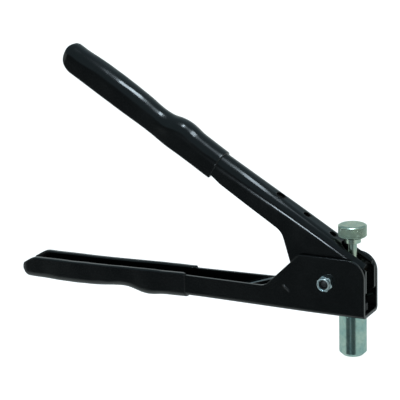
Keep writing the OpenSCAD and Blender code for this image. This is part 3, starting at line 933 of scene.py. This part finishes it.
nut_bore = [(COLLAR_BORE_R, NUT_OUT + 1.9), (COLLAR_BORE_R, NUT_OUT + 1.3), (3.3, NUT_OUT + 1.1)]
nut_lip = arc(COLLAR_BORE_R, NUT_OUT + LIP_R, LIP_R, 165, 360, 14)
nut_outside = [
    (4.75, NUT_OUT + 0.9), (4.75, NUT_FACE - 0.1), (4.9, NUT_FACE), (CORNER, NUT_FACE + 0.55),
    (CORNER, NUT_BACK - 0.3), (5.1, NUT_BACK), (NUT_BORE_R, NUT_BACK), (NUT_BORE_R, NUT_OUT + 1.9),
]
nut = turned(
    "pivot_lock_nut",
    eased(nut_bore, 0.1) + nut_lip + eased(nut_outside, 0.15),
    ZINC_BOLT,
    on_pivot,
    144,
    hexagon,
    closed=True,
    sharp=HEX_SHARP,
)
finish_piece(nut, "frame", "pivot_nut")
ring_profile = [(3.95, NUT_OUT + 1.32), (2.75, NUT_OUT + 1.25), (2.7, NUT_OUT + 1.85), (3.95, NUT_OUT + 1.85)]
insert = turned(
    "pivot_nut_ring",
    eased(ring_profile, 0.1),
    NYLON,
    on_pivot,
    64,
    closed=True,
)
finish_piece(insert, "frame", "pivot_nut_insert")


def thread(r, height, angle):
    """A 1 mm thread on the bolt's end, and the hexagon of its head."""
    if height > BOLT_SEAT - 0.1:
        return hexagon(r, height, angle)
    if height > BOLT_TIP + THREAD_LENGTH or r < BOLT_R - 0.2:
        return r
    return r - THREAD_DEPTH * (0.5 - 0.5 * math.cos(angle - 2 * math.pi * height))


bolt_end = [(AXIS, BOLT_TIP), (2.3, BOLT_TIP), (2.6, BOLT_TIP + 0.2)]
thread_rows = [(BOLT_R, BOLT_TIP + 0.45 + THREAD_STEP * i) for i in range(38)]
bolt_head = [
    (BOLT_R, BOLT_SEAT - 0.2), (BOLT_R, BOLT_SEAT), (5.2, BOLT_SEAT), (CORNER, BOLT_SEAT + 0.3),
    (CORNER, BOLT_TOP - 0.6), (4.7, BOLT_TOP - 0.05), (4.4, BOLT_TOP), (AXIS, BOLT_TOP),
]
bolt = turned(
    "pivot_bolt_body",
    bolt_end + thread_rows + bolt_head,
    OXIDE,
    on_pivot,
    144,
    thread,
    sharp=HEX_SHARP,
)
finish_piece(bolt, "frame", "pivot_bolt")
WASHER_IN, WASHER_OUT = (corner.y for corner in node_box("pivot_bolt_washer"))
WASHER_HOLE_R, WASHER_R = 3.1, 6.0
washer_profile = [
    (WASHER_HOLE_R, WASHER_IN), (WASHER_R, WASHER_IN), (WASHER_R, WASHER_OUT), (WASHER_HOLE_R, WASHER_OUT),
]
washer = turned("pivot_washer_disc", eased(washer_profile, 0.2), ZINC_BOLT, on_pivot, closed=True)
finish_piece(washer, "frame", "pivot_bolt_washer")

# ---------- return spring ----------

SPRING_LOW, SPRING_HIGH = node_box("return_spring")
WIRE_R, WIRE_SIDES = 1.0, 14
COIL_R = 7.6
COIL_TURNS, TURN_STEPS = 4, 24
COIL_SIDE = SPRING_HIGH.y - WIRE_R
FOOT = Vector((SPRING_LOW.x + 0.2, SPRING_LOW.z + WIRE_R))
TIP_ALONG, TIP_UP = -40.0, LEVER_TOP - SHEET - WIRE_R - 0.05


def leg_start(end, away):
    """Angle round the coil where a straight leg to a point leaves it; away is 1 or -1, for the side."""
    gap = end - Vector((PIVOT.x, PIVOT.z))
    return math.degrees(math.atan2(gap.y, gap.x)) + away * math.degrees(math.acos(COIL_R / gap.length))


def on_coil(angle, y):
    """A point on the coil's middle line."""
    a = math.radians(angle)
    return Vector((PIVOT.x + COIL_R * math.cos(a), y, PIVOT.z + COIL_R * math.sin(a)))


def spring_path():
    """The wire's middle line: a leg in the frame, the coil round the pivot, a leg under the lever's web."""
    tip = on_lever(TIP_ALONG, 0, TIP_UP)
    foot_angle = leg_start(FOOT, -1) + 360
    tip_angle = leg_start(Vector((tip.x, tip.z)), 1)
    sweep = foot_angle - tip_angle
    sweep += 360 * round((360 * COIL_TURNS - sweep) / 360)
    steps = TURN_STEPS * COIL_TURNS
    coil = [
        on_coil(foot_angle - sweep * i / steps, COIL_SIDE * (1 - 2 * i / steps)) for i in range(steps + 1)
    ]
    foot, tip = Vector((FOOT.x, COIL_SIDE, FOOT.y)), Vector((tip.x, -COIL_SIDE, tip.z))
    foot_leg = [foot.lerp(coil[0], t) for t in (0, 0.2, 0.4, 0.6, 0.8)]
    return foot_leg + coil + [coil[-1].lerp(tip, t) for t in (0.25, 0.5, 0.75, 1.0)]


def make_wire(name, path, radius, material):
    """A round wire along a path, closed at both ends."""
    spokes = [2 * math.pi * k / WIRE_SIDES for k in range(WIRE_SIDES)]
    points = []
    ahead = (path[1] - path[0]).normalized()
    side = ahead.cross(Vector((0, 1, 0))).normalized()
    for i, p in enumerate(path):
        ahead = (path[min(i + 1, len(path) - 1)] - path[max(i - 1, 0)]).normalized()
        side = (side - ahead * side.dot(ahead)).normalized()
        up = ahead.cross(side)
        points += [p + radius * (math.cos(t) * side + math.sin(t) * up) for t in spokes]
    faces = ring_faces(0, len(path), WIRE_SIDES)
    last = (len(path) - 1) * WIRE_SIDES
    faces += [tuple(range(WIRE_SIDES)), tuple(range(last, last + WIRE_SIDES))]
    return make_object(name, points, faces, material, 50)


spring = make_wire("return_spring_wire", spring_path(), WIRE_R, WIRE)
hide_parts("return_spring", "return_spring_leg")
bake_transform(spring)

# ---------- inner pieces, carried over from the frame ----------

INNER_BEVEL = 0.2
INNER = {
    STEEL: (
        "nosepiece", "pivot_sleeve", "thrust_collar", "thrust_collar_pin", "mandrel_holder", "holder_pin",
    ),
    BRONZE: ("lever_bushes", "puller_bush", "thrust_washer"),
    OXIDE: ("nose_lock_nut", "nose_lock_washer", "puller", "trunnion_pins"),
}
for material, names in INNER.items():
    for name in names:
        obj = frame["nodes"][name]
        obj.data.materials.clear()
        obj.data.materials.append(material)
        weld = obj.modifiers.new("weld", "WELD")
        weld.merge_threshold = 1e-6
        bevel = obj.modifiers.new("bevel", "BEVEL")
        bevel.width = INNER_BEVEL * MM
        bevel.segments = 2
        bevel.limit_method = "ANGLE"
        bevel.angle_limit = math.radians(40)
        bevel.harden_normals = True

# ---------- floor, lights, camera ----------

# metres from here on

FLOOR_HALF, FLOOR_GAP, FLOOR_GLOW = 6, 0.0002, 0.88
floor_corners = [(FLOOR_HALF * x, FLOOR_HALF * y, 0) for x, y in ((-1, -1), (1, -1), (1, 1), (-1, 1))]
floor_mesh = bpy.data.meshes.new("floor")
floor_mesh.from_pydata(floor_corners, [], [(0, 1, 2, 3)])
floor = bpy.data.objects.new("floor", floor_mesh)
floor.location.z = cad_box[0][2] - FLOOR_GAP
bpy.context.scene.collection.objects.link(floor)
pale = Surface("pale_floor", (0.9, 0.9, 0.9), 0, 0.6)
pale.shader.inputs["Emission Color"].default_value = (1, 1, 1, 1)
pale.shader.inputs["Emission Strength"].default_value = FLOOR_GLOW
floor_mesh.materials.append(pale.material)
floor.visible_glossy = False

ROOM = (0.06, 0.075, 0.08)
GAP = (0.24, 0.3, 0.34)
FLATS = (0.46, 0.52, 0.52)
CEILING = (0.17, 0.24, 0.27)
LEFT_FLAT, RIGHT_FLAT = (33, 41), (40, 47)  # degrees of turn over which each flat starts
STRIP_START, STRIP_END = (-3, 1), (3, 7)
CEILING_EDGE = (19, 27)  # degrees above the horizon

world = bpy.data.worlds.new("studio")
bpy.context.scene.world = world
world.use_nodes = True
tree = world.node_tree
where = tree.nodes.new("ShaderNodeTexCoord")
split = tree.nodes.new("ShaderNodeSeparateXYZ")
tree.links.new(where.outputs["Generated"], split.inputs["Vector"])


def step_node(value, span, measure=math.radians):
    """0 before the span of degrees and 1 after it, smooth between. Measure turns degrees into the value."""
    node = tree.nodes.new("ShaderNodeMapRange")
    node.interpolation_type = "SMOOTHSTEP"
    node.inputs["From Min"].default_value = measure(span[0])
    node.inputs["From Max"].default_value = measure(span[1])
    tree.links.new(value, node.inputs["Value"])
    return node.outputs["Result"]


def math_node(operation, *values):
    """One sum on numbers and sockets."""
    node = tree.nodes.new("ShaderNodeMath")
    node.operation = operation
    for socket, value in zip(node.inputs, values):
        if isinstance(value, (int, float)):
            socket.default_value = value
        else:
            tree.links.new(value, socket)
    return node.outputs["Value"]


def color_mix(factor, a, b):
    """Colour a where the factor is 0 and b where it is 1."""
    node = tree.nodes.new("ShaderNodeMix")
    node.data_type = "RGBA"
    tree.links.new(factor, node.inputs["Factor"])
    for name, value in (("A", a), ("B", b)):
        if isinstance(value, tuple):
            node.inputs[name].default_value = (*value, 1)
        else:
            tree.links.new(value, node.inputs[name])
    return node.outputs["Result"]


# pale flats stand left and right of a dark room, with a dim strip between them and a dim ceiling
azimuth = math_node("ARCTAN2", split.outputs["X"], math_node("MULTIPLY", split.outputs["Y"], -1))
left_flat = step_node(math_node("MULTIPLY", azimuth, -1), LEFT_FLAT)
right_flat = step_node(azimuth, RIGHT_FLAT)
strip = math_node("SUBTRACT", step_node(azimuth, STRIP_START), step_node(azimuth, STRIP_END))
room = color_mix(strip, ROOM, GAP)
around = color_mix(math_node("MAXIMUM", left_flat, right_flat), room, FLATS)
ceiling = step_node(split.outputs["Z"], CEILING_EDGE, lambda angle: math.sin(math.radians(angle)))
background = tree.nodes["Background"]
background.inputs["Strength"].default_value = 1.0
tree.links.new(color_mix(ceiling, around, CEILING), background.inputs["Color"])

# the camera itself sees plain white
white = tree.nodes.new("ShaderNodeBackground")
white.inputs["Strength"].default_value = 1.0
white.inputs["Color"].default_value = (1, 1, 1, 1)
light_path = tree.nodes.new("ShaderNodeLightPath")
mix = tree.nodes.new("ShaderNodeMixShader")
tree.links.new(light_path.outputs["Is Camera Ray"], mix.inputs["Fac"])
tree.links.new(background.outputs["Background"], mix.inputs[1])
tree.links.new(white.outputs["Background"], mix.inputs[2])
tree.links.new(mix.outputs["Shader"], tree.nodes["World Output"].inputs["Surface"])

AIM = Vector((-0.1149, 0.0006, 0.0979))
LEVER_ALONG = (on_lever(1, 0, 0) - on_lever(0, 0, 0)).normalized()
LAMP_COLOR = (0.76, 0.9, 1.0)
OVERHEAD = (0.3, -0.05, 0.95)
FROM_LEFT = (-0.267, -0.964, 0.006)


def softbox(name, target, direction, distance, width, height, power):
    """A rectangular light that faces a target from a direction, its width along the lever."""
    light = bpy.data.lights.new(name, "AREA")
    light.shape = "RECTANGLE"
    light.size, light.size_y = width, height
    light.energy = power
    light.color = LAMP_COLOR
    obj = bpy.data.objects.new(name, light)
    away = Vector(direction).normalized()
    side = (LEVER_ALONG - away * LEVER_ALONG.dot(away)).normalized()
    place = Matrix((side, away.cross(side), away)).transposed().to_4x4()
    place.translation = target + away * distance
    obj.matrix_world = place
    obj.visible_camera = False
    bpy.context.scene.collection.objects.link(obj)


softbox("overhead", AIM, OVERHEAD, 1.3, 0.3, 0.34, 0.35)
softbox("grip_lamp", on_lever(-188, -4, 26) * MM, OVERHEAD, 0.4, 0.035, 0.18, 0.32)
softbox("lever_lamp", on_lever(-82, -4, 26) * MM, OVERHEAD, 0.25, 0.02, 0.13, 0.08)
softbox("front_lamp", on_lever(-20, -9, 24) * MM, FROM_LEFT, 0.4, 0.07, 0.036, 0.19)

AZIMUTH, ELEVATION, ROLL = 26.84, 15.52, 1.58
DISTANCE = 1.3318
LENS, SENSOR = 171.26, 36
a, e, roll = (math.radians(v) for v in (AZIMUTH, ELEVATION, ROLL))
toward = Vector((math.sin(a) * math.cos(e), -math.cos(a) * math.cos(e), math.sin(e)))
right = Vector((math.cos(a), math.sin(a), 0))
up = toward.cross(right)
cam_x = math.cos(roll) * right - math.sin(roll) * up
cam_y = math.sin(roll) * right + math.cos(roll) * up
camera_data = bpy.data.cameras.new("camera")
camera_data.lens = LENS
camera_data.sensor_width = SENSOR
camera_data.clip_end = 20
camera = bpy.data.objects.new("camera", camera_data)
bpy.context.scene.collection.objects.link(camera)
matrix = Matrix((cam_x, cam_y, toward)).transposed().to_4x4()
matrix.translation = AIM + toward * DISTANCE
camera.matrix_world = matrix
bpy.context.scene.camera = camera
bpy.context.scene.view_settings.view_transform = "Standard"
